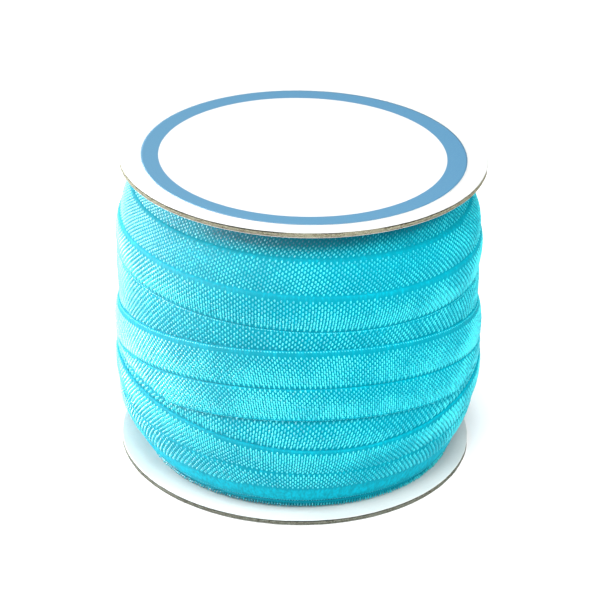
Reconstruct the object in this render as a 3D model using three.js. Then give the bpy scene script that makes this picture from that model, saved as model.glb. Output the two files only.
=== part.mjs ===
import * as THREE from "three";

// Roll of fold-over elastic on a card spool, standing on its lower flange.
// Millimetres, +Z up along the spool's axis, origin under the middle of the roll, where it stands.
// The front of the roll faces -Y and its left side faces -X.

// Driving dimensions of the spool
const flangeDiameter = 100;
const bottomFlangeDiameter = 99.2;
const boardThickness = 1.5;
const boardEdgeRounding = 0.2;
const spoolHeight = 88;
const labelDiameter = 88;
const labelThickness = 0.3;
const labelDipDiameter = 19;
const labelDipDepth = 0.25;
const labelDipSlope = 2.5;
const pieceGap = 0.3;
const discSteps = 64;

// The lower flange and the label sit a little off the spool's axis
const bottomFlangeOffset = { x: -0.6, y: 0 };
const labelOffset = { x: 0.35, y: -0.6 };

// Driving dimensions of the elastic: a knitted tape with a thin fold line along its middle
const tapeWidth = 20;
const tapeThickness = 0.75;
const foldDepth = 0.45;
const halfTapeCrown = 0.3;
const seamHalfWidth = 0.4;
const narrowestBand = 1.3;
const seamFadeHeight = 2.5;
const rollSteps = 96;
const rowsBetweenSeams = 3;

// The wound barrel: its radius on the left and on the right at each height, without the turns' relief
const barrelSections = [
  { height: 1.8, left: 41.8, right: 42.8 },
  { height: 4.6, left: 44.0, right: 44.4 },
  { height: 8.4, left: 46.3, right: 45.9 },
  { height: 15.6, left: 49.5, right: 48.6 },
  { height: 22.7, left: 50.5, right: 50.2 },
  { height: 36.9, left: 51.0, right: 50.4 },
  { height: 51.1, left: 50.3, right: 49.1 },
  { height: 58.2, left: 50.6, right: 49.0 },
  { height: 65.3, left: 50.5, right: 49.2 },
  { height: 72.5, left: 49.5, right: 48.2 },
  { height: 79.6, left: 46.7, right: 44.7 },
  { height: 83.4, left: 44.4, right: 42.3 },
  { height: 86.2, left: 41.8, right: 40.0 },
];

// How far the surface stands out just above a seam, on it and just below it
const seamReliefs = {
  turnBelowOnTop: { above: -tapeThickness / 2, on: -tapeThickness / 2, below: tapeThickness / 2 },
  turnAboveOnTop: { above: tapeThickness / 2, on: -tapeThickness / 2, below: -tapeThickness / 2 },
  centreFold: { above: 0, on: -foldDepth, below: 0 },
};

// The edges and centre folds of the outermost turns, from the upper flange down.
// A seam has its mean height, rises by its tilt on the side that it faces (degrees from the front towards
// the right), and its bow lifts it at that side and the opposite one and lowers it between them.
const seams = [
  { name: "upper edge of the first turn", height: 78.9, tilt: 1.2, facing: -95, bow: 0,
    relief: "turnBelowOnTop" },
  { name: "upper edge of the second turn", height: 69.6, tilt: 1.9, facing: -95, bow: -0.2,
    relief: "turnBelowOnTop" },
  { name: "fold of the second turn", height: 59.4, tilt: 1.9, facing: -95, bow: -0.2,
    relief: "centreFold" },
  { name: "upper edge of the third turn", height: 45.7, tilt: 7.1, facing: 5, bow: 0.8,
    relief: "turnBelowOnTop" },
  { name: "fold of the third turn", height: 34.7, tilt: 7.1, facing: 5, bow: 0.8,
    relief: "centreFold" },
  { name: "lower edge of the third turn", height: 25.6, tilt: 6.9, facing: 5, bow: 0.8,
    relief: "turnAboveOnTop" },
  { name: "upper edge of the last turn", height: 28.0, tilt: 1.6, facing: 192, bow: -2.7,
    relief: "turnBelowOnTop" },
  { name: "fold of the last turn", height: 18.8, tilt: 1.4, facing: 192, bow: -1.5,
    relief: "centreFold" },
  { name: "lower edge of the last turn", height: 5.0, tilt: 0.8, facing: 180, bow: 0,
    relief: "turnAboveOnTop" },
];

const rollBottom = boardThickness + pieceGap;
const rollTop = spoolHeight - boardThickness - pieceGap;

const barrelRadii = new THREE.CubicInterpolant(
  barrelSections.map((section) => section.height),
  barrelSections.flatMap((section) => [section.left, section.right]),
  2,
);

function barrelRadius(height, angle) {
  const [left, right] = barrelRadii.evaluate(height);
  return THREE.MathUtils.lerp(left, right, (1 + Math.sin(angle)) / 2);
}

function seamHeight(seam, angle) {
  const turned = angle - THREE.MathUtils.degToRad(seam.facing);
  return seam.height + seam.tilt * Math.cos(turned) + seam.bow * Math.cos(2 * turned);
}

// The seams round one side of the roll, from the top down. Where a turn lies over the seam above its own
// edge, that seam is pushed up against the edge and its relief fades out.
function seamsAt(angle) {
  const placed = [];
  let floor = rollBottom + narrowestBand;
  for (const seam of [...seams].reverse()) {
    const free = seamHeight(seam, angle);
    const height = Math.max(free, floor);
    const shown = THREE.MathUtils.smoothstep(free, floor - seamFadeHeight, floor + seamFadeHeight);
    const relief = seamReliefs[seam.relief];
    placed.unshift({
      height,
      above: relief.above * shown,
      on: relief.on * shown,
      below: relief.below * shown,
    });
    floor = height + narrowestBand;
  }
  return placed;
}

// Heights and reliefs down one side of the roll: three rows on each seam and a few across each band, which
// swells between its seams by as much as its width allows.
function rowsAt(angle) {
  const rows = [{ height: rollTop, lift: 0 }];
  let start = { height: rollTop, lift: 0 };
  const ends = [...seamsAt(angle), null];
  for (const seam of ends) {
    const end = seam
      ? { height: seam.height + seamHalfWidth, lift: seam.above }
      : { height: rollBottom, lift: 0 };
    const swelling = halfTapeCrown * Math.min(1, (start.height - end.height) / (tapeWidth / 2));
    for (let step = 1; step <= rowsBetweenSeams; step += 1) {
      const part = step / (rowsBetweenSeams + 1);
      const crown = swelling * Math.sin(Math.PI * part);
      rows.push({
        height: THREE.MathUtils.lerp(start.height, end.height, part),
        lift: THREE.MathUtils.lerp(start.lift, end.lift, part) + crown,
      });
    }
    rows.push(end);
    if (seam) {
      rows.push({ height: seam.height, lift: seam.on });
      start = { height: seam.height - seamHalfWidth, lift: seam.below };
      rows.push(start);
    }
  }
  return rows;
}

// The closed surface of the roll: its side as a grid of rows and columns, and a flat end under each flange
function rollGeometry() {
  const points = [];
  const faces = [];
  let rowCount = 0;
  for (let column = 0; column < rollSteps; column += 1) {
    const angle = (column / rollSteps) * 2 * Math.PI;
    const rows = rowsAt(angle);
    rowCount = rows.length;
    for (const { height, lift } of rows) {
      const radius = barrelRadius(height, angle) + lift;
      points.push(radius * Math.sin(angle), -radius * Math.cos(angle), height);
    }
  }
  const topCentre = rollSteps * rowCount;
  const bottomCentre = topCentre + 1;
  points.push(0, 0, rollTop, 0, 0, rollBottom);
  for (let column = 0; column < rollSteps; column += 1) {
    const here = column * rowCount;
    const next = ((column + 1) % rollSteps) * rowCount;
    for (let row = 0; row < rowCount - 1; row += 1) {
      faces.push(here + row, here + row + 1, next + row + 1);
      faces.push(here + row, next + row + 1, next + row);
    }
    faces.push(topCentre, here, next);
    faces.push(bottomCentre, next + rowCount - 1, here + rowCount - 1);
  }
  const geometry = new THREE.BufferGeometry();
  geometry.setAttribute("position", new THREE.Float32BufferAttribute(points, 3));
  geometry.setIndex(faces);
  geometry.computeVertexNormals();
  return geometry;
}

// A flat round, turned about Z, with its edges slightly rounded; profile points are radius and height
function roundGeometry(profile) {
  const points = profile.map(([radius, height]) => new THREE.Vector2(radius, height));
  const geometry = new THREE.LatheGeometry(points, discSteps);
  geometry.rotateX(Math.PI / 2);
  return geometry;
}

function flangeGeometry(diameter) {
  const radius = diameter / 2;
  return roundGeometry([
    [0, 0],
    [radius - boardEdgeRounding, 0],
    [radius, boardEdgeRounding],
    [radius, boardThickness - boardEdgeRounding],
    [radius - boardEdgeRounding, boardThickness],
    [0, boardThickness],
  ]);
}

// The label sags a little in its middle, and the board under it is pressed in by as much
function dippedFlangeGeometry(diameter) {
  const radius = diameter / 2;
  const dip = labelDipDiameter / 2;
  return roundGeometry([
    [0, 0],
    [radius - boardEdgeRounding, 0],
    [radius, boardEdgeRounding],
    [radius, boardThickness - boardEdgeRounding],
    [radius - boardEdgeRounding, boardThickness],
    [dip, boardThickness],
    [dip - labelDipSlope, boardThickness - labelDipDepth],
    [0, boardThickness - labelDipDepth],
  ]);
}

function labelGeometry() {
  const radius = labelDiameter / 2;
  const dip = labelDipDiameter / 2;
  return roundGeometry([
    [0, -labelDipDepth],
    [dip - labelDipSlope, -labelDipDepth],
    [dip, 0],
    [radius, 0],
    [radius, labelThickness],
    [dip, labelThickness],
    [dip - labelDipSlope, labelThickness - labelDipDepth],
    [0, labelThickness - labelDipDepth],
  ]);
}

const elasticCyan = new THREE.MeshStandardMaterial({ color: "#14c4dc", roughness: 0.45, metalness: 0 });
const whiteLinedBoard = new THREE.MeshStandardMaterial({ color: "#eef2f1", roughness: 0.7, metalness: 0 });
const labelPaper = new THREE.MeshStandardMaterial({ color: "#cfe2f2", roughness: 0.35, metalness: 0 });

function namedMesh(name, geometry, material, x, y, z) {
  const mesh = new THREE.Mesh(geometry, material);
  mesh.name = name;
  mesh.position.set(x, y, z);
  return mesh;
}

const elasticRoll = namedMesh("elastic_roll", rollGeometry(), elasticCyan, 0, 0, 0);

const bottomFlange = namedMesh(
  "bottom_flange",
  flangeGeometry(bottomFlangeDiameter),
  whiteLinedBoard,
  bottomFlangeOffset.x,
  bottomFlangeOffset.y,
  0,
);

const topFlange = namedMesh(
  "top_flange",
  dippedFlangeGeometry(flangeDiameter),
  whiteLinedBoard.clone(),
  0,
  0,
  spoolHeight - boardThickness,
);

const label = namedMesh(
  "label",
  labelGeometry(),
  labelPaper,
  labelOffset.x,
  labelOffset.y,
  spoolHeight + pieceGap,
);

const roll = new THREE.Group();
roll.add(bottomFlange, elasticRoll, topFlange, label);

export default roll;
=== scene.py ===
import math

import bpy
import numpy as np
from mathutils import Matrix, Vector, noise


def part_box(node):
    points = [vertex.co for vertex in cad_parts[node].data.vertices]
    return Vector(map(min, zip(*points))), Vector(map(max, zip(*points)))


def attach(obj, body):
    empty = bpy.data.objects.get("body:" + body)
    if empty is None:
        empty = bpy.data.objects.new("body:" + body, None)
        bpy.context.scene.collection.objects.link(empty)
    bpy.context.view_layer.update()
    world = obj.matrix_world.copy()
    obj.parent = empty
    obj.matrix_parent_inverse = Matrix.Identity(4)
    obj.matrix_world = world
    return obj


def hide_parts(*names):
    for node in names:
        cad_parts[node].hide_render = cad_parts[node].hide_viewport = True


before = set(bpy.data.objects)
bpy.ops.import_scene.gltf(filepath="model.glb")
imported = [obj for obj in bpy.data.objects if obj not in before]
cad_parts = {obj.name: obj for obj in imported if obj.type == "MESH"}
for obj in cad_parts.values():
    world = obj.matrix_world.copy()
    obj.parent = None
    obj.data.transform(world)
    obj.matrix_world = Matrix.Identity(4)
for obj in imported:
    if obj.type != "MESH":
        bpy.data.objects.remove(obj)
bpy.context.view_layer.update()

MM = 0.001

# Camera
# It looks down at the waist of the standing roll from in front, with a long lens and a slight roll to one
# side, as the photograph was taken.
camera_distance = 600.2 * MM
camera_height = 356.0 * MM
camera_pitch = math.radians(27.56)
camera_roll = math.radians(1.39)
focal_length_px = 2418.3
frame_width_px = 600

camera_data = bpy.data.cameras.new("camera")
camera_data.lens = focal_length_px / frame_width_px * camera_data.sensor_width
camera_data.clip_start = 0.05
camera_data.clip_end = 20
camera = bpy.data.objects.new("camera", camera_data)
camera.matrix_world = (
    Matrix.Translation((0, -camera_distance, camera_height))
    @ Matrix.Rotation(math.pi / 2 - camera_pitch, 4, "X")
    @ Matrix.Rotation(camera_roll, 4, "Z")
)
bpy.context.scene.collection.objects.link(camera)
bpy.context.scene.camera = camera


# Lower flange
# A round die-cut from grey chipboard with white paper glued on both faces. The bare edge is brownish, a
# little fibrous, and split between its layers here and there. Its core is coloured darker than the upper
# flange's, as painted shade. The roll stands on it.


class Value:
    """A number that a node gives, with Python's arithmetic on it as Math nodes."""

    def __init__(self, finish, socket):
        self.finish = finish
        self.socket = socket

    def math(self, operation, other=None, swapped=False):
        pair = [self, other] if not swapped else [other, self]
        inputs = {place: part for place, part in enumerate(pair) if part is not None}
        return self.finish.node("ShaderNodeMath", {"operation": operation}, inputs)

    def __add__(self, other):
        return self.math("ADD", other)

    __radd__ = __add__

    def __mul__(self, other):
        return self.math("MULTIPLY", other)

    __rmul__ = __mul__

    def __sub__(self, other):
        return self.math("SUBTRACT", other)

    def __rsub__(self, other):
        return self.math("SUBTRACT", other, swapped=True)


class Finish:
    """One material: its Principled shader and the nodes that feed it."""

    def __init__(self, name, **constants):
        self.material = bpy.data.materials.new(name)
        self.material.use_nodes = True
        self.tree = self.material.node_tree
        self.shader = self.tree.nodes["Principled BSDF"]
        for label, value in constants.items():
            self.set(self.shader, {label.replace("_", " ").title(): value})

    def set(self, node, inputs):
        for place, value in inputs.items():
            if isinstance(value, Value):
                self.tree.links.new(value.socket, node.inputs[place])
            else:
                node.inputs[place].default_value = value

    def node(self, kind, settings=None, inputs=None, output=0):
        """Adds a node of this type, with its settings set first, and returns one of its outputs."""
        made = self.tree.nodes.new(kind)
        for label, value in (settings or {}).items():
            setattr(made, label, value)
        self.set(made, inputs or {})
        return Value(self, made.outputs[output])

    def position(self, scale=(1, 1, 1)):
        """A point of the piece, in metres, stretched by this much along each axis."""
        place = self.node("ShaderNodeTexCoord", output="Object")
        return self.node("ShaderNodeMapping", {}, {"Vector": place, "Scale": scale})

    def noise(self, place, size, detail=2.0, roughness=0.5):
        """Noise from 0 to 1 whose patches are about this many metres across."""
        inputs = {"Vector": place, "Scale": 1 / size, "Detail": detail, "Roughness": roughness}
        return self.node("ShaderNodeTexNoise", {}, inputs)

    def band(self, value, low, high):
        """0 where the value is under low, 1 over high, and smooth between."""
        settings = {"interpolation_type": "SMOOTHSTEP"}
        inputs = {"Value": value, "From Min": low, "From Max": high}
        return self.node("ShaderNodeMapRange", settings, inputs)

    def mix(self, share, first, second):
        """The first colour, turning to the second as share goes from 0 to 1."""
        return self.node("ShaderNodeMix", {"data_type": "RGBA"}, {0: share, 6: first, 7: second}, output=2)

    def relief(self, height, depth):
        """Raises the surface by height, where 1 stands for this many metres."""
        bump = self.node("ShaderNodeBump", {}, {"Height": height, "Distance": depth})
        self.set(self.shader, {"Normal": bump})


paper_in_shade = (0.67, 0.685, 0.67, 1)
paper_in_light = (0.72, 0.735, 0.715, 1)


def liner_paper():
    """White, faintly cool paper, smooth but with the mottle of the board under it."""
    paper = Finish("liner_paper", roughness=0.62)
    cloud = paper.noise(paper.position(), 14 * MM, 3)
    fibres = paper.noise(paper.position((1, 1, 0.2)), 0.5 * MM, 2)
    tone = paper.band(cloud * 0.7 + fibres * 0.3, 0.35, 0.7)
    paper.set(paper.shader, {"Base Color": paper.mix(tone, paper_in_shade, paper_in_light)})
    paper.relief(fibres, 0.012 * MM)
    return paper.material


def chipboard_core(name, dark, light):
    """Pressed grey-brown fibre, in fine broken streaks that lie with the board."""
    core = Finish(name, roughness=0.95)
    core.set(core.shader, {"Specular IOR Level": 0.1})
    streaks = core.noise(core.position((0.4, 0.4, 2.4)), 0.42 * MM, 5, 0.7)
    grit = core.noise(core.position(), 0.22 * MM, 3)
    patches = core.noise(core.position(), 3.5 * MM, 2)
    fibre = core.mix(core.band(streaks * 0.65 + grit * 0.35, 0.40, 0.60), dark, light)
    weathered = tuple(0.4 * a + 0.6 * b for a, b in zip(dark, light))
    pressed_fibre = core.mix(core.band(patches, 0.45, 0.75), fibre, weathered)
    # Painted shadow inside the splits between the board's layers
    split = core.node("ShaderNodeAttribute", {"attribute_name": "split"}, output="Fac")
    split_shadow = tuple(0.35 * a for a in dark[:3]) + (1,)
    core.set(core.shader, {"Base Color": core.mix(core.band(split, 0.1, 0.8), pressed_fibre, split_shadow)})
    core.relief(streaks, 0.12 * MM)
    return core.material


# One section through the edge, from the underside up: how many millimetres in from the rim and how high up
# the board's thickness each ring is, how ragged it is, how far a split draws it in, and what shows above it
edge_section = [
    {"inset": 0.30, "level": 0.00, "ragged": 0.0, "split": 0.00, "shows": "paper"},
    {"inset": 0.08, "level": 0.01, "ragged": 0.4, "split": 0.00, "shows": "paper"},
    {"inset": 0.03, "level": 0.08, "ragged": 0.6, "split": 0.00, "shows": "core"},
    {"inset": 0.10, "level": 0.16, "ragged": 1.0, "split": 0.18, "shows": "core"},
    {"inset": 0.04, "level": 0.32, "ragged": 1.0, "split": 0.00, "shows": "core"},
    {"inset": 0.03, "level": 0.50, "ragged": 1.0, "split": 0.00, "shows": "core"},
    {"inset": 0.06, "level": 0.60, "ragged": 1.0, "split": 0.05, "shows": "core"},
    {"inset": 0.12, "level": 0.67, "ragged": 0.8, "split": 0.50, "shows": "core"},
    {"inset": 0.16, "level": 0.78, "ragged": 0.8, "split": 0.60, "shows": "core"},
    {"inset": 0.08, "level": 0.88, "ragged": 1.0, "split": 0.30, "shows": "core"},
    {"inset": 0.03, "level": 0.92, "ragged": 0.6, "split": 0.00, "shows": "paper"},
    {"inset": 0.08, "level": 0.99, "ragged": 0.4, "split": 0.00, "shows": "paper"},
    {"inset": 0.30, "level": 1.00, "ragged": 0.0, "split": 0.00, "shows": "paper"},
]
rim_steps = 640
raggedness = 0.16 * MM
# A split that draws the rim in by this much gets the full painted shadow
deep_split = 0.5 * MM
# How many patches of noise the rim's radius spans, for its nicks, its dents and the splits between layers
nick_fineness = 42
dent_fineness = 9
split_fineness = 4.5
# The higher this is, the more of the rim is split
split_reach = 0.30
# Rings across each face, as shares of its radius, and more rings where a board may dip over the spindle hole
face_ring_shares = (0.97, 0.8, 0.5, 0.25)
hole_rings = (11.0 * MM, 9.0 * MM, 6.0 * MM)


def card_round(name, node, finishes, seed, dip=lambda radius: 0.0):
    """A round of lined board in the place of a CAD node; dip lowers its upper face by its distance out."""
    low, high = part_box(node)
    centre = (low + high) / 2
    radius = (high.x - low.x) / 2
    thickness = high.z - low.z
    rings = [(radius * share, 0.0, 0.0, 0.0, 0) for share in reversed(face_ring_shares)]
    for ring in edge_section:
        out = radius - ring["inset"] * MM
        rings.append((out, ring["level"], ring["ragged"], ring["split"] * MM, int(ring["shows"] == "core")))
    rings += [(radius * share, 1.0, 0.0, 0.0, 0) for share in face_ring_shares]
    rings += [(out, 1.0, 0.0, 0.0, 0) for out in hole_rings]
    points = []
    split_shadows = []
    for out, level, ragged, split, _ in rings:
        for step in range(rim_steps):
            turn = 2 * math.pi * step / rim_steps
            along = Vector((math.cos(turn), math.sin(turn), 0))
            nick = noise.noise(along * nick_fineness + Vector((0, 0, level * 5 + seed)))
            dent = noise.noise(along * dent_fineness + Vector((0, 0, level * 2 + seed + 7)))
            parting = noise.noise(along * split_fineness + Vector((0, 0, seed + 20)))
            opened = min(1.0, 2.0 * max(0.0, parting + split_reach))
            reach = out + raggedness * ragged * (0.55 * nick + 0.7 * dent) - split * opened
            split_shadows.append(opened * min(1.0, split / deep_split))
            height = low.z + thickness * level - (dip(out) if level == 1.0 else 0.0)
            points.append((centre.x + reach * along.x, centre.y + reach * along.y, height))
    under = len(points)
    points.append((centre.x, centre.y, low.z))
    points.append((centre.x, centre.y, high.z - dip(0.0)))
    split_shadows += [0.0, 0.0]
    faces = []
    shown = []
    for ring in range(len(rings) - 1):
        for step in range(rim_steps):
            after = (step + 1) % rim_steps
            here = ring * rim_steps
            there = here + rim_steps
            faces.append((here + step, here + after, there + after, there + step))
            shown.append(rings[ring][4])
    last = (len(rings) - 1) * rim_steps
    for step in range(rim_steps):
        after = (step + 1) % rim_steps
        faces.append((under, after, step))
        faces.append((under + 1, last + step, last + after))
        shown += [0, 0]
    mesh = bpy.data.meshes.new(name)
    mesh.from_pydata(points, [], faces)
    for finish in finishes:
        mesh.materials.append(finish)
    mesh.polygons.foreach_set("material_index", shown)
    mesh.attributes.new("split", "FLOAT", "POINT").data.foreach_set("value", split_shadows)
    mesh.polygons.foreach_set("use_smooth", [True] * len(faces))
    mesh.update()
    piece = bpy.data.objects.new(name, mesh)
    bpy.context.scene.collection.objects.link(piece)
    return piece


# The lower flange's core: the same board as the upper one's, coloured darker and greyer as painted shade
shaded_core_dark = (0.045, 0.045, 0.03, 1)
shaded_core_light = (0.24, 0.25, 0.20, 1)
liner = liner_paper()
shaded_core = chipboard_core("shaded_core", shaded_core_dark, shaded_core_light)
lower_flange = card_round("lower_flange", "bottom_flange", [liner, shaded_core], seed=3)
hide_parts("bottom_flange")
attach(lower_flange, "root")


# Wound elastic
# Turquoise knitted tape, 20 mm wide, with a plain selvage along each edge and a thin fold line along its
# middle. It is wound in crossing turns, each half over the one before, into a barrel that bulges past the
# flanges and is drawn in against them.
barrel_sections = [
    {"height": 1.8, "left": 41.8, "right": 42.8},
    {"height": 4.6, "left": 44.0, "right": 44.4},
    {"height": 8.4, "left": 46.3, "right": 45.9},
    {"height": 15.6, "left": 49.5, "right": 48.6},
    {"height": 22.7, "left": 50.5, "right": 50.2},
    {"height": 36.9, "left": 51.0, "right": 50.4},
    {"height": 51.1, "left": 50.3, "right": 49.1},
    {"height": 58.2, "left": 50.6, "right": 49.0},
    {"height": 65.3, "left": 50.5, "right": 49.2},
    {"height": 72.5, "left": 49.5, "right": 48.2},
    {"height": 79.6, "left": 46.7, "right": 44.7},
    {"height": 83.4, "left": 44.4, "right": 42.3},
    {"height": 86.2, "left": 41.8, "right": 40.0},
]

# The edges and folds of the outermost turns, from the top down: mean height, how far each rises on the side
# that it faces (degrees from the front towards the right), the bow that lifts that side and its opposite,
# and the width of its smooth strip
seams = [
    {"height": 78.9, "tilt": 1.2, "facing": -95, "bow": 0.0, "strip": 0.75, "kind": "soft_turn_below"},
    {"height": 69.6, "tilt": 1.9, "facing": -95, "bow": -0.2, "strip": 0.90, "kind": "soft_turn_below"},
    {"height": 59.4, "tilt": 1.9, "facing": -95, "bow": -0.2, "strip": 0.60, "kind": "centre_fold"},
    {"height": 45.7, "tilt": 7.1, "facing": 5, "bow": 0.8, "strip": 1.15, "kind": "turn_below_on_top"},
    {"height": 34.7, "tilt": 7.1, "facing": 5, "bow": 0.8, "strip": 0.45, "kind": "centre_fold"},
    {"height": 25.6, "tilt": 6.9, "facing": 5, "bow": 0.8, "strip": 0.90, "kind": "turn_above_on_top"},
    {"height": 28.0, "tilt": 1.6, "facing": 192, "bow": -2.7, "strip": 1.10, "kind": "turn_below_on_top"},
    {"height": 18.8, "tilt": 1.4, "facing": 192, "bow": -1.5, "strip": 0.45, "kind": "faint_fold"},
    {"height": 5.4, "tilt": 0.8, "facing": 180, "bow": 0.0, "strip": 6.20, "kind": "last_edge"},
]

# Sections across each kind of seam, from the top down: how many millimetres above the seam, how far the
# cloth stands out there, and how that row is coloured, from smooth strip (1) through knit (0) to a gap (-1);
# below 0 the colour is painted shadow in the gaps, creases and undercuts
seam_sections = {
    "soft_turn_below": [
        {"above": 0.70, "lift": -0.20, "shade": 0.0}, {"above": 0.25, "lift": -0.18, "shade": 0.0},
        {"above": 0.05, "lift": -0.14, "shade": -0.1}, {"above": -0.03, "lift": 0.00, "shade": 0.2},
        {"above": -0.10, "lift": 0.10, "shade": 0.1}, {"above": -0.24, "lift": 0.24, "shade": 0.2},
        {"above": -0.50, "lift": 0.33, "shade": 0.2}, {"above": -1.00, "lift": 0.33, "shade": 0.1},
    ],
    "turn_below_on_top": [
        {"above": 0.70, "lift": -0.28, "shade": 0.0}, {"above": 0.25, "lift": -0.34, "shade": 0.0},
        {"above": 0.05, "lift": -0.38, "shade": -0.3}, {"above": -0.03, "lift": -0.10, "shade": 0.1},
        {"above": -0.10, "lift": 0.14, "shade": 0.3}, {"above": -0.24, "lift": 0.30, "shade": 0.3},
        {"above": -0.50, "lift": 0.36, "shade": 0.2}, {"above": -1.00, "lift": 0.33, "shade": 0.1},
    ],
    "turn_above_on_top": [
        {"above": 0.95, "lift": 0.33, "shade": 0.3}, {"above": 0.50, "lift": 0.36, "shade": 0.4},
        {"above": 0.24, "lift": 0.31, "shade": 0.5}, {"above": 0.10, "lift": 0.14, "shade": 0.4},
        {"above": 0.03, "lift": -0.12, "shade": 0.2}, {"above": -0.05, "lift": -0.42, "shade": -0.6},
        {"above": -0.25, "lift": -0.36, "shade": -0.4}, {"above": -0.70, "lift": -0.28, "shade": 0.0},
    ],
    "last_edge": [
        {"above": 6.40, "lift": 0.30, "shade": 0.1}, {"above": 5.20, "lift": 0.32, "shade": 0.5},
        {"above": 2.80, "lift": 0.34, "shade": 0.6}, {"above": 0.90, "lift": 0.33, "shade": 0.3},
        {"above": 0.40, "lift": 0.34, "shade": 0.2},
        {"above": 0.15, "lift": 0.24, "shade": 0.2}, {"above": 0.03, "lift": -0.10, "shade": -0.6},
        {"above": -0.06, "lift": -0.70, "shade": -1.0}, {"above": -0.50, "lift": -0.80, "shade": -1.0},
        {"above": -0.90, "lift": -0.50, "shade": -0.9},
    ],
    "centre_fold": [
        {"above": 0.70, "lift": 0.04, "shade": 0.0}, {"above": 0.30, "lift": 0.0, "shade": 0.0},
        {"above": 0.11, "lift": -0.14, "shade": 0.1}, {"above": 0.00, "lift": -0.30, "shade": -0.5},
        {"above": -0.10, "lift": -0.12, "shade": 0.2}, {"above": -0.28, "lift": 0.04, "shade": 0.4},
        {"above": -0.60, "lift": 0.06, "shade": 0.2},
    ],
    "faint_fold": [
        {"above": 0.60, "lift": 0.04, "shade": 0.0}, {"above": 0.20, "lift": 0.0, "shade": 0.1},
        {"above": 0.00, "lift": -0.08, "shade": 0.1}, {"above": -0.20, "lift": 0.0, "shade": 0.3},
        {"above": -0.60, "lift": 0.04, "shade": 0.2},
    ],
}
narrowest_band = 2.0
seam_fade = 2.5
half_tape = 10.0
half_tape_crown = 0.3
rows_in_band = 7
# Between these heights, under the upper flange, the cloth turns flat and is darkened as painted shadow of
# the flange. Towards the left it does so less and less, between these sines of the angle from the front.
pressed_shadowed_from = 79.9
pressed_shadowed_to = 82.2
pressed_shadowed_side_from = -0.85
pressed_shadowed_side_to = -0.3
# How far the ground there is darkened, as painted shadow of the flange
flange_painted_shadow = -0.6
# Painted shade on the cloth against the flanges
flange_contact_painted_shade = -0.7
# A seam that another turn covers keeps this share of its section's height
least_reach = 0.2
round_steps = 420
board_gap = 0.02
roll_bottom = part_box("bottom_flange")[1].z / MM + board_gap
roll_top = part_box("top_flange")[0].z / MM - board_gap
section_heights = np.array([section["height"] for section in barrel_sections])


def through_sections(side, height):
    """The barrel's radius on one side, on a smooth curve through its sections."""
    radii = np.array([section[side] for section in barrel_sections])
    slopes = np.gradient(radii, section_heights)
    place = np.clip(np.searchsorted(section_heights, height) - 1, 0, len(radii) - 2)
    width = section_heights[place + 1] - section_heights[place]
    part = (height - section_heights[place]) / width
    start = (1 + 2 * part) * (1 - part) ** 2 * radii[place] + part * (1 - part) ** 2 * width * slopes[place]
    end = part**2 * (3 - 2 * part) * radii[place + 1] - part**2 * (1 - part) * width * slopes[place + 1]
    return start + end


def barrel_radius(height, turn):
    share = (1 + np.sin(turn)) / 2
    return (1 - share) * through_sections("left", height) + share * through_sections("right", height)


def smooth_step(value, low_end, high_end):
    part = np.clip((value - low_end) / (high_end - low_end), 0, 1)
    return part * part * (3 - 2 * part)


# How far the cloth here is pressed flat under the upper flange and darkened as painted shadow of the flange
def pressing_and_flange_shadow(height, turn):
    side = smooth_step(np.sin(turn), pressed_shadowed_side_from, pressed_shadowed_side_to)
    return smooth_step(height, pressed_shadowed_from, pressed_shadowed_to) * side


def seam_lines(turn):
    """Height of each seam round the roll, and how much of it shows where another turn may lie over it."""
    heights = []
    shown = []
    floor = np.full_like(turn, roll_bottom + narrowest_band)
    for seam in reversed(seams):
        turned = turn - math.radians(seam["facing"])
        free = seam["height"] + seam["tilt"] * np.cos(turned) + seam["bow"] * np.cos(2 * turned)
        height = np.maximum(free, floor)
        heights.insert(0, height)
        shown.insert(0, smooth_step(free, floor - seam_fade, floor + seam_fade))
        floor = height + narrowest_band
    return heights, shown


def winding_rows(turn):
    """Rows down the side at these turns: height, lift, and shade of the cloth, painted shade below 0."""
    heights, shown = seam_lines(turn)
    top_shade = flange_contact_painted_shade * pressing_and_flange_shadow(roll_top, turn)
    rows = [(np.full_like(turn, roll_top), np.zeros_like(turn), top_shade)]
    for place in range(len(seams) + 1):
        start_height, start_lift, _ = rows[-1]
        crossing = []
        if place < len(seams):
            for spot in seam_sections[seams[place]["kind"]]:
                reach = least_reach + (1 - least_reach) * shown[place]
                row_height = heights[place] + spot["above"] * reach
                crossing.append((row_height, spot["lift"] * shown[place], spot["shade"]))
        else:
            crossing.append((np.full_like(turn, roll_bottom), np.zeros_like(turn), flange_contact_painted_shade))
        end_height, end_lift, _ = crossing[0]
        crown = half_tape_crown * np.minimum(1, (start_height - end_height) / half_tape)
        for step in range(1, rows_in_band + 1):
            part = 0.5 - 0.5 * math.cos(math.pi * step / (rows_in_band + 1))
            height = start_height + (end_height - start_height) * part
            lift = start_lift + (end_lift - start_lift) * part + crown * math.sin(math.pi * part)
            rows.append((height, lift, flange_painted_shadow * pressing_and_flange_shadow(height, turn)))
        rows += crossing
    return rows


# Distance down the side, along the cloth, at each height of the mean barrel
side_heights = np.linspace(roll_top, roll_bottom, 900)
side_radii = (through_sections("left", side_heights) + through_sections("right", side_heights)) / 2
side_steps = np.hypot(np.diff(side_heights), np.diff(side_radii))
side_lengths = np.concatenate([[0], np.cumsum(side_steps)])


def length_at(height):
    return np.interp(-height, -side_heights, side_lengths)


def height_at(length):
    return np.interp(length, side_lengths, side_heights)


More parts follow.
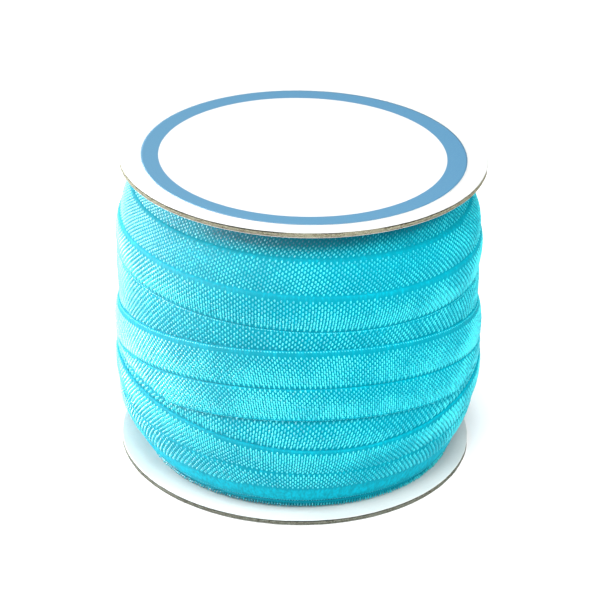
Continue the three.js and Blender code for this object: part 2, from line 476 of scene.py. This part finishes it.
def elastic_finish(name, colours, thread_contrast, **constants):
    """Knitted yarn, coloured by the mesh's shade: the three colours stand at -1 (painted shade), 0 and 1."""
    cloth = Finish(name, **constants)
    shade = cloth.node("ShaderNodeAttribute", {"attribute_name": "shade"}, output="Fac")
    cloud = cloth.noise(cloth.position(), 9 * MM, 2)
    threads = cloth.noise(cloth.position((1, 1, 0.12)), 0.6 * MM, 1)
    mottle = (cloud - 0.5) * 0.5 + (threads - 0.5) * thread_contrast
    lit = cloth.mix(cloth.band(shade + mottle, 0.0, 1.0), colours[1], colours[2])
    cloth.set(cloth.shader, {"Base Color": cloth.mix(cloth.band(shade, 0.0, -1.0), lit, colours[0])})
    return cloth


def wound_surface():
    """The side of the winding as one closed mesh, with a flat end against each flange."""
    turn = np.arange(round_steps) / round_steps * 2 * math.pi
    rows = winding_rows(turn)
    points = []
    shades = []
    for height, lift, shade in rows:
        radius = barrel_radius(height, turn) + lift
        points.append(np.stack([radius * np.sin(turn), -radius * np.cos(turn), height], 1))
        shades.append(np.zeros(round_steps) + shade)
    end_centres = np.array([[0, 0, roll_top], [0, 0, roll_bottom]])
    points = np.concatenate(points + [end_centres]) * MM
    shades = np.concatenate(shades + [np.ones(len(end_centres))])
    faces = []
    for row in range(len(rows) - 1):
        for step in range(round_steps):
            after = (step + 1) % round_steps
            here = row * round_steps
            there = here + round_steps
            faces.append((here + step, there + step, there + after, here + after))
    top_centre = len(rows) * round_steps
    last = (len(rows) - 1) * round_steps
    for step in range(round_steps):
        after = (step + 1) % round_steps
        faces.append((top_centre, step, after))
        faces.append((top_centre + 1, last + after, last + step))
    mesh = bpy.data.meshes.new("wound_elastic")
    mesh.from_pydata(points.tolist(), [], faces)
    mesh.polygons.foreach_set("use_smooth", [True] * len(faces))
    mesh.attributes.new("shade", "FLOAT", "POINT").data.foreach_set("value", shades)
    return mesh


# From -1 to 1: painted shadow for gaps and creases, the knit ground between the floats, darkened partly as
# painted shade between them, and the smooth strip
ground_colours = [(0.0, 0.09, 0.14, 1), (0.0, 0.30, 0.395, 1), (0.0, 0.48, 0.62, 1)]
ground_thread_contrast = 1.8
ground_finish = elastic_finish("elastic_ground", ground_colours, ground_thread_contrast, roughness=0.7)
ground_finish.set(ground_finish.shader, {"Specular IOR Level": 0.06})
ground_finish.relief(ground_finish.noise(ground_finish.position((3, 3, 0.6)), 0.35 * MM, 2), 0.05 * MM)
wound_mesh = wound_surface()
wound_mesh.materials.append(ground_finish.material)
wound_elastic = bpy.data.objects.new("wound_elastic", wound_mesh)
bpy.context.scene.collection.objects.link(wound_elastic)
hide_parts("elastic_roll")
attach(wound_elastic, "root")


# Knit of the elastic
# Its face is covered with short raised floats of shiny yarn, laid like bricks in rows along the tape. They
# stop at the selvages and at the fold, and in places lie so close that they run together into upright ribs.
knit_seed = 11
# Mean radius of the barrel, on which the pitches round it are measured
mean_radius = 49.0

# Each field of floats lies under one seam and reaches down to the next. It gives its piece, that seam, the
# pitch of the floats along a row and of the rows, the lean in degrees, and how ribbed it is above and below.
knit_fields = [
    {"piece": "knit_inner_turns", "seam": None, "along": 1.63, "rows": 0.60, "lean": 19, "ribs": (0.3, 0.0)},
    {"piece": "knit_first_turn", "seam": 0, "along": 1.61, "rows": 0.60, "lean": 11, "ribs": (0.0, 0.1)},
    {"piece": "knit_second_turn", "seam": 1, "along": 1.59, "rows": 0.65, "lean": 3, "ribs": (0.1, 1.1)},
    {"piece": "knit_second_turn", "seam": 2, "along": 1.60, "rows": 0.75, "lean": 7, "ribs": (0.3, 0.2)},
    {"piece": "knit_third_turn", "seam": 3, "along": 1.35, "rows": 0.69, "lean": -8, "ribs": (0.2, 0.8)},
    {"piece": "knit_third_turn", "seam": 4, "along": 1.28, "rows": 0.63, "lean": -7, "ribs": (0.1, 1.0)},
    {"piece": "knit_inner_turns", "seam": 5, "along": 1.59, "rows": 0.78, "lean": 8, "ribs": (0.1, 0.9)},
    {"piece": "knit_last_turn", "seam": 6, "along": 1.38, "rows": 0.62, "lean": 3, "ribs": (1.0, 0.3)},
    {"piece": "knit_last_turn", "seam": 7, "along": 1.41, "rows": 0.80, "lean": 0, "ribs": (0.3, 0.0)},
]
# The floats lean further on the right of the roll than at the front, and less on the left
lean_to_right = 14
# The floats keep this far from the side of a seam that has no smooth strip
bare_side = 0.10
# The smooth strip lies above these kinds of seam, and below the others
strip_above = {"turn_above_on_top", "last_edge"}
float_width = 0.50
float_height = 0.34
float_sink = 0.06
# The share of two rows that a float covers, and what is added to it where the knit is ribbed
float_share = 0.74
ribbed_share = 0.52
# The floats' own slant is steeper than the lean of their columns
slant_over_lean = 1.6
# Under the upper flange the floats lie flatter by this share, and are darkened by this much as painted
# shadow
pressed_flattening = 0.65
flange_shadow_darkening = 1.5
courses_each_way = 40
# The middle of a float stays at least this far inside its field
field_margin = 0.1
shaken_along = 0.07
shaken_down = 0.05
patch_fineness = 0.09


def float_object():
    """One float: a low ridge on a six-sided base, one unit long, wide and high."""
    base = [(0, -0.5), (0.5, -0.25), (0.5, 0.25), (0, 0.5), (-0.5, 0.25), (-0.5, -0.25)]
    points = [(x, y, 0) for x, y in base] + [(0, -0.17, 1), (0, 0.17, 1)]
    faces = [(0, 1, 6), (1, 2, 7, 6), (2, 3, 7), (3, 4, 7), (4, 5, 6, 7), (5, 0, 6), (5, 4, 3, 2, 1, 0)]
    mesh = bpy.data.meshes.new("knit_float")
    mesh.from_pydata(points, [], faces)
    mesh.polygons.foreach_set("use_smooth", [True] * len(faces))
    return bpy.data.objects.new("knit_float", mesh)


def laying_tree():
    """Sets one float on each point, turned to the cloth and sized by the point's own attributes."""
    tree = bpy.data.node_groups.new("lay_floats", "GeometryNodeTree")
    face = tree.interface
    face.new_socket(name="Geometry", in_out="OUTPUT", socket_type="NodeSocketGeometry")
    face.new_socket(name="Points", in_out="INPUT", socket_type="NodeSocketGeometry")
    face.new_socket(name="Float", in_out="INPUT", socket_type="NodeSocketObject")
    face.new_socket(name="Yarn", in_out="INPUT", socket_type="NodeSocketMaterial")
    nodes = tree.nodes
    links = tree.links
    given = nodes.new("NodeGroupInput")
    result = nodes.new("NodeGroupOutput")

    def stored(name):
        reader = nodes.new("GeometryNodeInputNamedAttribute")
        reader.data_type = "FLOAT_VECTOR"
        reader.inputs["Name"].default_value = name
        return next(output for output in reader.outputs if output.enabled)

    facing = nodes.new("FunctionNodeAxesToRotation")
    facing.primary_axis = "Z"
    facing.secondary_axis = "Y"
    links.new(stored("outward"), facing.inputs["Primary Axis"])
    links.new(stored("across"), facing.inputs["Secondary Axis"])
    shape = nodes.new("GeometryNodeObjectInfo")
    links.new(given.outputs["Float"], shape.inputs["Object"])
    laid = nodes.new("GeometryNodeInstanceOnPoints")
    links.new(given.outputs["Points"], laid.inputs["Points"])
    links.new(shape.outputs["Geometry"], laid.inputs["Instance"])
    links.new(facing.outputs["Rotation"], laid.inputs["Rotation"])
    links.new(stored("size"), laid.inputs["Scale"])
    real = nodes.new("GeometryNodeRealizeInstances")
    links.new(laid.outputs["Instances"], real.inputs["Geometry"])
    dyed = nodes.new("GeometryNodeSetMaterial")
    links.new(real.outputs["Geometry"], dyed.inputs["Geometry"])
    links.new(given.outputs["Yarn"], dyed.inputs["Material"])
    links.new(dyed.outputs["Geometry"], result.inputs["Geometry"])
    return tree


knit_float = float_object()
lay_floats = laying_tree()


def lay(name, places, yarn):
    """Makes the piece of that name: one float on each place, as a plain mesh."""
    seed_mesh = bpy.data.meshes.new(name + "_places")
    seed_mesh.from_pydata(places["at"].tolist(), [], [])
    for label in ("outward", "across", "size"):
        stored = seed_mesh.attributes.new(label, "FLOAT_VECTOR", "POINT")
        stored.data.foreach_set("vector", places[label].astype(np.float32).ravel())
    seed_mesh.attributes.new("shade", "FLOAT", "POINT").data.foreach_set("value", places["shade"])
    holder = bpy.data.objects.new(name + "_places", seed_mesh)
    bpy.context.scene.collection.objects.link(holder)
    layer = holder.modifiers.new("lay_floats", "NODES")
    layer.node_group = lay_floats
    given = {"Float": knit_float, "Yarn": yarn}
    for item in lay_floats.interface.items_tree:
        if item.in_out == "INPUT" and item.name in given:
            layer[item.identifier] = given[item.name]
    evaluated = holder.evaluated_get(bpy.context.evaluated_depsgraph_get())
    mesh = bpy.data.meshes.new_from_object(evaluated)
    mesh.name = name
    for label in ("outward", "across", "size"):
        if label in mesh.attributes:
            mesh.attributes.remove(mesh.attributes[label])
    bpy.data.objects.remove(holder)
    bpy.data.meshes.remove(seed_mesh)
    piece = bpy.data.objects.new(name, mesh)
    bpy.context.scene.collection.objects.link(piece)
    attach(piece, "root")
    return piece


def cloth_points(turn, height):
    """Points of the wound surface, in millimetres, one for each turn and height."""
    rows = winding_rows(turn)
    row_heights = np.array([row[0] for row in rows])[::-1]
    row_lifts = np.array([row[1] for row in rows])[::-1]
    lift = np.array([np.interp(height[i], row_heights[:, i], row_lifts[:, i]) for i in range(len(turn))])
    radius = barrel_radius(height, turn) + lift
    return np.stack([radius * np.sin(turn), -radius * np.cos(turn), height], 1)


def unit(vectors):
    return vectors / np.linalg.norm(vectors, axis=1, keepdims=True)


def lying(turn, height, slant):
    """Place, outward and across directions of floats that lie in a row at these turns and heights."""
    at = cloth_points(turn, height)
    above = cloth_points(turn, height + 0.35)
    beside = np.roll(at, -1, axis=0) - np.roll(at, 1, axis=0)
    across = unit(above - at) + np.tan(np.radians(slant)).reshape(-1, 1) * unit(beside)
    outward = unit(np.cross(beside, across))
    return at, outward, unit(across)


chance = np.random.RandomState(knit_seed)


def lay_out_field(field, places):
    """Add the places of one field's floats, course by course down the roll."""
    upper = field["seam"]
    lower = 0 if upper is None else upper + 1
    row_pitch = field["rows"]
    floats_round = round(2 * math.pi * mean_radius / field["along"])
    strip_at_foot = seams[lower]["kind"] in strip_above
    bare_at_foot = seams[lower]["strip"] if strip_at_foot else bare_side
    strip_at_top = upper is not None and seams[upper]["kind"] not in strip_above
    bare_at_top = seams[upper]["strip"] if strip_at_top else bare_side
    around = np.arange(floats_round) / floats_round * 2 * math.pi
    lean = np.radians(field["lean"] + lean_to_right * np.sin(around))
    slant = slant_over_lean * np.degrees(lean)
    column_step = 0.5 + row_pitch * np.tan(lean) / field["along"]
    for course in range(-courses_each_way, courses_each_way):
        turn = around - course * column_step / floats_round * 2 * math.pi
        heights, shown = seam_lines(turn)
        start = np.zeros_like(turn) if upper is None else length_at(heights[upper])
        start = start + bare_at_top
        end = length_at(heights[lower]) - bare_at_foot
        length = (start + end) / 2 + course * row_pitch
        if upper is None:
            length = end + (course - 0.4) * row_pitch
        kept = (length > start + field_margin) & (length < end - field_margin)
        if not kept.any():
            continue
        height = height_at(length)
        jitter = chance.uniform(-1, 1, (6, len(turn)))
        shaken_turn = turn + shaken_along * jitter[4] / mean_radius
        at, outward, across = lying(shaken_turn, height + shaken_down * jitter[5], slant)
        down = np.clip((length - start) / np.maximum(end - start, 0.5), 0, 1)
        patchy = np.array([noise.noise(Vector(point) * patch_fineness) for point in at.tolist()])
        ribs_above, ribs_below = field["ribs"]
        ribbed = smooth_step(ribs_above + (ribs_below - ribs_above) * down + 0.5 * patchy, 0.2, 0.9)
        pressed_shadowed = pressing_and_flange_shadow(height, turn)
        float_length = 2 * row_pitch * (float_share + ribbed_share * ribbed + 0.05 * jitter[1])
        raised = (float_height - 0.04 * ribbed + 0.04 * jitter[2]) * (1 - pressed_flattening * pressed_shadowed)
        size = np.stack([float_width + 0.03 * jitter[0], float_length, raised], 1)
        # Ribbed floats are made paler as painted sheen, and floats under the upper flange darker as painted
        # shadow
        shade = 0.45 + 0.3 * ribbed + 0.6 * patchy + 0.35 * jitter[3] - flange_shadow_darkening * pressed_shadowed
        places["at"].append((at - outward * float_sink)[kept] * MM)
        places["outward"].append(outward[kept])
        places["across"].append(across[kept])
        places["size"].append(size[kept] * MM)
        places["shade"].append(shade[kept])


def no_places():
    return {"at": [], "outward": [], "across": [], "size": [], "shade": []}


knit = {}
for field in knit_fields:
    lay_out_field(field, knit.setdefault(field["piece"], no_places()))

# One small bead of yarn after another marks the sharper edges and one fold
bead_rows = [
    {"seam": 2, "above": -0.30, "shade": 0.3}, {"seam": 3, "above": -0.16, "shade": 0.6},
    {"seam": 5, "above": 0.16, "shade": 0.6}, {"seam": 5, "above": 0.78, "shade": 0.4},
    {"seam": 8, "above": 0.25, "shade": 0.0},
]
bead_pitch = 0.80
bead_size = np.array([0.50, 0.36, 0.13])
bead_size_spread = np.array([0.06, 0.06, 0.04])
bead_lean = 20.0
bead_sink = 0.04
bead_count = round(2 * math.pi * mean_radius / bead_pitch)
turn = np.arange(bead_count) / bead_count * 2 * math.pi
heights, shown = seam_lines(turn)
beads = no_places()
for row in bead_rows:
    jitter = chance.uniform(-1, 1, (5, bead_count))
    kept = shown[row["seam"]] > 0.5
    place = heights[row["seam"]] + row["above"] + 0.03 * jitter[0]
    shaken_turn = turn + 0.1 * jitter[1] / mean_radius
    at, outward, across = lying(shaken_turn, place, np.full(bead_count, bead_lean))
    size = bead_size + bead_size_spread * jitter[2:].T
    beads["at"].append((at - outward * bead_sink)[kept] * MM)
    beads["outward"].append(outward[kept])
    beads["across"].append(across[kept])
    beads["size"].append(size[kept] * MM)
    beads["shade"].append((row["shade"] + 0.3 * jitter[2])[kept])
knit["selvage_beads"] = beads

# Glossy yarn with a faint sheen, duller the deeper its shade. Its darkest colour is painted shade, and the
# red in its palest colour a painted highlight.
yarn_colours = [(0.0, 0.17, 0.25, 1), (0.0, 0.54, 0.66, 1), (0.05, 0.86, 0.93, 1)]
yarn_thread_contrast = 0.4
yarn_roughness = 0.34
deep_yarn_dullness = 0.6
yarn_finish = elastic_finish("elastic_yarn", yarn_colours, yarn_thread_contrast, sheen_weight=0.06)
yarn_finish.set(yarn_finish.shader, {"Specular IOR Level": 0.75, "Sheen Roughness": 0.3})
yarn_shade = yarn_finish.node("ShaderNodeAttribute", {"attribute_name": "shade"}, output="Fac")
dullness = deep_yarn_dullness * yarn_finish.band(yarn_shade, -0.1, -1.0)
yarn_finish.set(yarn_finish.shader, {"Roughness": yarn_roughness + dullness})
for name, places in knit.items():
    lay(name, {label: np.concatenate(parts) for label, parts in places.items()}, yarn_finish.material)


# Stitched lower selvage
# The edge of an inner turn that lies against the lower flange: a fringe of tiny upright stitches.
stitch_pitch = 0.80
stitch_height = 2.3
stitch_size = np.array([0.44, 1.4, 0.80])
stitch_size_spread = np.array([0.03, 0.3, 0.15])
stitch_sink = 0.05
stitch_shade = 0.35
stitch_shade_spread = 0.45
# The stitches are painted paler towards the right, as painted light
painted_light_to_right = 0.4
fringe_radius = 43
stitch_count = round(2 * math.pi * fringe_radius / stitch_pitch)
turn = np.arange(stitch_count) / stitch_count * 2 * math.pi
at, outward, across = lying(turn, np.full(stitch_count, stitch_height), np.zeros(stitch_count))
jitter = chance.uniform(-1, 1, (3, stitch_count))
stitches = {
    "at": (at - outward * stitch_sink) * MM,
    "outward": outward,
    "across": across,
    "size": (stitch_size + stitch_size_spread * jitter.T) * MM,
    "shade": stitch_shade + stitch_shade_spread * jitter[0] + painted_light_to_right * np.sin(turn),
}
lay("stitched_selvage", stitches, yarn_finish.material)
bpy.data.objects.remove(knit_float)


# Upper flange
# The same lined chipboard round. It has the spool's spindle hole in its middle, which the label covers, so
# the middle is a faint dip.
dip_radius = 9.5 * MM
dip_depth = 0.25 * MM
dip_slope = 3.0 * MM


def spindle_dip(radius):
    part = min(1.0, max(0.0, (dip_radius - radius) / dip_slope))
    return dip_depth * part * part * (3 - 2 * part)


tan_core_dark = (0.11, 0.10, 0.055, 1)
tan_core_light = (0.40, 0.39, 0.285, 1)
tan_core = chipboard_core("tan_core", tan_core_dark, tan_core_light)
upper_flange = card_round("upper_flange", "top_flange", [liner, tan_core], seed=41, dip=spindle_dip)
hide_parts("top_flange")
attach(upper_flange, "root")


# Label
# A round of coated white paper, glued a little off centre on the upper flange, with a sky-blue border
# printed round it. What was printed inside the border is left bare.
label_steps = 360
label_paper_thickness = 0.12 * MM
wave_height = 0.02 * MM
wave_width = 18 * MM
# In the photo the label lies this far from the solid's place, and is this much wider all round
label_shift = Vector((-0.2, -0.6, 0)) * MM
label_spread = 0.2 * MM
border_inner_radius = 39.1 * MM
border_inner_centre = (-0.2 * MM, -1.7 * MM)
border_blur = 0.06 * MM
# The border's blue is painted lighter on the left and darker on the right, as painted light and shade
border_shade_reach = 44 * MM
border_painted_lit = (0.095, 0.255, 0.405, 1)
border_painted_shaded = (0.073, 0.235, 0.405, 1)
border_speck = (0.10, 0.27, 0.42, 1)
coated_white_dark = (0.71, 0.725, 0.72, 1)
coated_white_light = (0.75, 0.76, 0.755, 1)
low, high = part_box("label")
label_centre = (low + high) / 2 + label_shift
label_radius = (high.x - low.x) / 2 + label_spread
label_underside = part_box("top_flange")[1].z + 0.01 * MM
# Rings of each face, in millimetres from its middle, closest together where the paper sags
label_rings = [0.0005, 2, 4, 5.5, 6.5, 7, 7.5, 8, 8.5, 9, 9.5, 10, 12, 16, 20, 24, 28, 32, 36, 40]
label_rings += [42.5, 43.7]


def label_mesh():
    """Both faces of the paper, joined at its cut edge; the middle sags into the spindle hole."""
    rings = [radius * MM for radius in label_rings] + [label_radius]
    points = []
    for side, order in ((1, rings), (0, list(reversed(rings)))):
        for radius in order:
            for step in range(label_steps):
                turn = 2 * math.pi * step / label_steps
                x = label_centre.x + radius * math.cos(turn)
                y = label_centre.y + radius * math.sin(turn)
                sag = spindle_dip(math.hypot(x, y))
                wave = wave_height * (1 + noise.noise(Vector((x, y, 0)) / wave_width))
                points.append((x, y, label_underside - sag + wave + side * label_paper_thickness))
    faces = []
    for ring in range(2 * len(rings) - 1):
        for step in range(label_steps):
            after = (step + 1) % label_steps
            here = ring * label_steps
            there = here + label_steps
            faces.append((here + after, here + step, there + step, there + after))
    faces.append(list(range(label_steps)))
    last = (2 * len(rings) - 1) * label_steps
    faces.append([last + step for step in reversed(range(label_steps))])
    mesh = bpy.data.meshes.new("round_label")
    mesh.from_pydata(points, [], faces)
    mesh.polygons.foreach_set("use_smooth", [True] * len(faces))
    mesh.update()
    return mesh


def label_finish():
    """Coated paper, smooth, with a printed border that darkens slightly to the right, as painted shade."""
    coated = Finish("label_paper", roughness=0.4, coat_weight=0.25, coat_roughness=0.3)
    place = coated.position()
    x = coated.node("ShaderNodeSeparateXYZ", {}, {0: place}, output=0)
    y = coated.node("ShaderNodeSeparateXYZ", {}, {0: place}, output=1)
    from_x = x - border_inner_centre[0]
    from_y = y - border_inner_centre[1]
    distance = (from_x * from_x + from_y * from_y).math("SQRT")
    printed = coated.band(distance, border_inner_radius - border_blur, border_inner_radius + border_blur)
    grain = coated.noise(place, 0.35 * MM, 2)
    painted_shade_rightward = coated.band(x * 0.8 + y * 0.6, -border_shade_reach, border_shade_reach)
    blue = coated.mix(painted_shade_rightward, border_painted_lit, border_painted_shaded)
    inked = coated.mix(coated.band(grain, 0.3, 0.75), blue, border_speck)
    cloud = coated.noise(place, 11 * MM, 2)
    white = coated.mix(cloud, coated_white_dark, coated_white_light)
    coated.set(coated.shader, {"Base Color": coated.mix(printed, white, inked)})
    coated.set(coated.shader, {"Roughness": 0.36 + grain * 0.08})
    coated.relief(grain, 0.006 * MM)
    return coated.material


round_label_mesh = label_mesh()
round_label_mesh.materials.append(label_finish())
round_label = bpy.data.objects.new("round_label", round_label_mesh)
bpy.context.scene.collection.objects.link(round_label)
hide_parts("label")
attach(round_label, "root")


# Floor and light
# A plain white studio floor and soft light in a white room: one lamp overhead in front, one low behind on
# the left, one on the left that only shows as a pale sheen, and a weak one on the right without reflections.
floor_reach = 4.0
floor_drop = 0.2 * MM
floor_corners = [
    (-floor_reach, -floor_reach, -floor_drop),
    (floor_reach, -floor_reach, -floor_drop),
    (floor_reach, floor_reach, -floor_drop),
    (-floor_reach, floor_reach, -floor_drop),
]
floor_mesh = bpy.data.meshes.new("floor")
floor_mesh.from_pydata(floor_corners, [], [(0, 1, 2, 3)])
floor_finish = Finish("floor_white", roughness=0.9)
floor_finish.set(floor_finish.shader, {"Base Color": (0.93, 0.93, 0.93, 1), "Emission Color": (1, 1, 1, 1)})
floor_finish.set(floor_finish.shader, {"Emission Strength": 0.05, "Specular IOR Level": 0.1})
floor_mesh.materials.append(floor_finish.material)
floor = bpy.data.objects.new("floor", floor_mesh)
bpy.context.scene.collection.objects.link(floor)

lamps = [
    {"name": "overhead", "at": (0.00, -0.50, 0.95), "size": (0.5, 0.5), "power": 10.8, "shows": "both"},
    {"name": "left", "at": (-0.75, 0.35, 0.22), "size": (0.8, 0.3), "power": 14, "shows": "both"},
    {"name": "left_gloss", "at": (-0.85, -0.16, 0.19), "size": (0.7, 0.36), "power": 90, "shows": "gloss"},
    {"name": "right", "at": (0.70, -0.40, 0.70), "size": (0.5, 0.5), "power": 5, "shows": "diffuse"},
]
room_light = 0.22
roll_middle = Vector((0, 0, 44 * MM))
for lamp in lamps:
    light = bpy.data.lights.new(lamp["name"], "AREA")
    light.shape = "RECTANGLE"
    light.size, light.size_y = lamp["size"]
    light.energy = lamp["power"]
    stand = bpy.data.objects.new(lamp["name"], light)
    stand.location = lamp["at"]
    stand.rotation_euler = (roll_middle - stand.location).to_track_quat("-Z", "Y").to_euler()
    stand.visible_diffuse = lamp["shows"] in ("both", "diffuse")
    stand.visible_glossy = lamp["shows"] in ("both", "gloss")
    bpy.context.scene.collection.objects.link(stand)

room = bpy.data.worlds.new("white_room")
room.use_nodes = True
room.node_tree.nodes["Background"].inputs["Color"].default_value = (1, 1, 1, 1)
room.node_tree.nodes["Background"].inputs["Strength"].default_value = room_light
bpy.context.scene.world = room
bpy.context.scene.view_settings.view_transform = "Standard"
